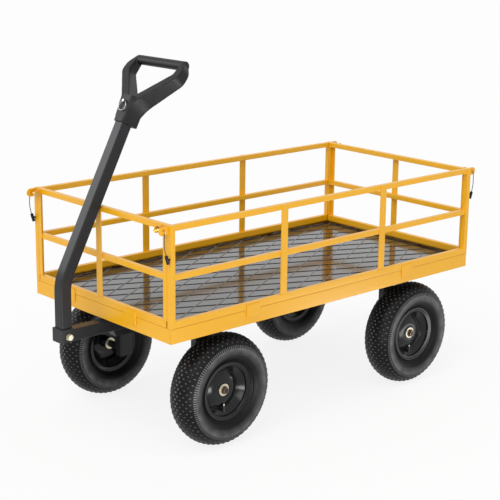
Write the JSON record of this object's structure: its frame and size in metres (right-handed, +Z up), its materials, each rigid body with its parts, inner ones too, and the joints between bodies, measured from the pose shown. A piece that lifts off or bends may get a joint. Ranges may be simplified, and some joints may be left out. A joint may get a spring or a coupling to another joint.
{
  "type": "utility cart",
  "caption": "Utility cart with a sheet deck in a skirted frame, lift-off rail panels pinned at the corners, air tyres, a steered front axle and a pull handle with a D grip.",
  "frame": {"origin": "on the floor, under the middle of the cart's box", "axes": "+X to the front, where the handle is; +Y to the cart's left; +Z up"},
  "size_m": [1.4264, 0.6478, 1.0768],
  "materials": {
    "yellow_paint": "glossy powder-coated steel",
    "black_paint": "semi-gloss powder-coated steel",
    "deck_coat": "gloss black coated sheet with raised diamond strands",
    "zinc_plate": "zinc-plated steel",
    "grip_plastic": "moulded nylon, fine texture",
    "tyre_rubber": "moulded tread rubber",
    "tube_rubber": "butyl rubber",
    "lanyard_coat": "plastic-coated wire and crimped ferrule"
  },
  "bodies": {
    "chassis": {"bed_frame": "yellow_paint", "deck_sheet": "deck_coat", "cross_members": "black_paint", "front_pivot_plate": "black_paint", "kingpin": "zinc_plate", "kingpin_nut": "zinc_plate", "rear_axle_beam": "black_paint", "rear_axle_legs": "black_paint", "rear_stub_axles": "zinc_plate", "rear_axle_nuts": "zinc_plate", "rear_axle_bolts": "zinc_plate", "front_panel_rails": "yellow_paint", "front_panel_posts": "yellow_paint", "front_panel_tabs": "yellow_paint"},
    "front_axle": {"front_axle_beam": "black_paint", "front_axle_legs": "black_paint", "front_stub_axles": "zinc_plate", "front_axle_nuts": "zinc_plate", "tongue": "black_paint"},
    "handle": {"yoke": "black_paint", "handle_tube": "black_paint", "pivot_bolt": "zinc_plate", "grip": "grip_plastic"},
    "grip_pin": {"grip_pin": "zinc_plate"},
    "grip_ring": {"grip_ring": "zinc_plate"},
    "left_panel": {"left_panel_rails": "yellow_paint", "left_panel_posts": "yellow_paint", "left_panel_tabs": "yellow_paint", "left_ferrules": "lanyard_coat", "front_left_lanyard": "lanyard_coat", "rear_left_lanyard": "lanyard_coat"},
    "right_panel": {"right_panel_rails": "yellow_paint", "right_panel_posts": "yellow_paint", "right_panel_tabs": "yellow_paint", "right_ferrules": "lanyard_coat", "front_right_lanyard": "lanyard_coat", "rear_right_lanyard": "lanyard_coat"},
    "rear_panel": {"rear_panel_rails": "yellow_paint", "rear_panel_posts": "yellow_paint", "rear_panel_tabs": "yellow_paint"},
    "front_left_pin": {"front_left_pin": "zinc_plate"},
    "front_left_wheel": {"front_left_tyre": "tyre_rubber", "front_left_rim": "black_paint", "front_left_bearings": "zinc_plate", "front_left_inner_tube": "tube_rubber"},
    "front_right_pin": {"front_right_pin": "zinc_plate"},
    "front_right_wheel": {"front_right_tyre": "tyre_rubber", "front_right_rim": "black_paint", "front_right_bearings": "zinc_plate", "front_right_inner_tube": "tube_rubber"},
    "rear_left_pin": {"rear_left_pin": "zinc_plate"},
    "rear_left_wheel": {"rear_left_tyre": "tyre_rubber", "rear_left_rim": "black_paint", "rear_left_bearings": "zinc_plate", "rear_left_inner_tube": "tube_rubber"},
    "rear_right_pin": {"rear_right_pin": "zinc_plate"},
    "rear_right_wheel": {"rear_right_tyre": "tyre_rubber", "rear_right_rim": "black_paint", "rear_right_bearings": "zinc_plate", "rear_right_inner_tube": "tube_rubber"}
  },
  "joints": [
    {"name": "steer", "type": "hinge", "parent": "chassis", "child": "front_axle", "pos_m": [0.34725, 0, 0.3467], "axis": [0, 0, 1], "range_deg": [-7.5, 7.5]},
    {"name": "handle_tilt", "type": "hinge", "parent": "front_axle", "child": "handle", "pos_m": [0.68875, 0, 0.3287], "axis": [0, 1, 0], "range_deg": [0, 95]},
    {"name": "grip_pin_pull", "type": "slide", "parent": "handle", "child": "grip_pin", "axis": [0.8878, 0, 0.4602], "range_m": [0, 0.066]},
    {"name": "grip_ring_swing", "type": "hinge", "parent": "grip_pin", "child": "grip_ring", "pos_m": [0.47081, 0, 0.96769], "axis": [0, -1, 0], "range_deg": [0, 120]},
    {"name": "left_panel_lift", "type": "slide", "parent": "chassis", "child": "left_panel", "axis": [0, 0, 1], "range_m": [0, 0.31]},
    {"name": "right_panel_lift", "type": "slide", "parent": "chassis", "child": "right_panel", "axis": [0, 0, 1], "range_m": [0, 0.31]},
    {"name": "rear_panel_lift", "type": "slide", "parent": "chassis", "child": "rear_panel", "axis": [0, 0, 1], "range_m": [0, 0.31]},
    {"name": "front_left_pin_pull", "type": "slide", "parent": "left_panel", "child": "front_left_pin", "axis": [0, -1, 0], "range_m": [0, 0.022]},
    {"name": "front_right_pin_pull", "type": "slide", "parent": "right_panel", "child": "front_right_pin", "axis": [0, 1, 0], "range_m": [0, 0.022]},
    {"name": "rear_left_pin_pull", "type": "slide", "parent": "left_panel", "child": "rear_left_pin", "axis": [0, -1, 0], "range_m": [0, 0.022]},
    {"name": "rear_right_pin_pull", "type": "slide", "parent": "right_panel", "child": "rear_right_pin", "axis": [0, 1, 0], "range_m": [0, 0.022]},
    {"name": "front_left_wheel_spin", "type": "hinge", "parent": "front_axle", "child": "front_left_wheel", "pos_m": [0.34725, 0.2705, 0.165], "axis": [0, 1, 0], "continuous": true},
    {"name": "front_right_wheel_spin", "type": "hinge", "parent": "front_axle", "child": "front_right_wheel", "pos_m": [0.34725, -0.2705, 0.165], "axis": [0, 1, 0], "continuous": true},
    {"name": "rear_left_wheel_spin", "type": "hinge", "parent": "chassis", "child": "rear_left_wheel", "pos_m": [-0.45075, 0.2705, 0.165], "axis": [0, 1, 0], "continuous": true},
    {"name": "rear_right_wheel_spin", "type": "hinge", "parent": "chassis", "child": "rear_right_wheel", "pos_m": [-0.45075, -0.2705, 0.165], "axis": [0, 1, 0], "continuous": true}
  ]
}
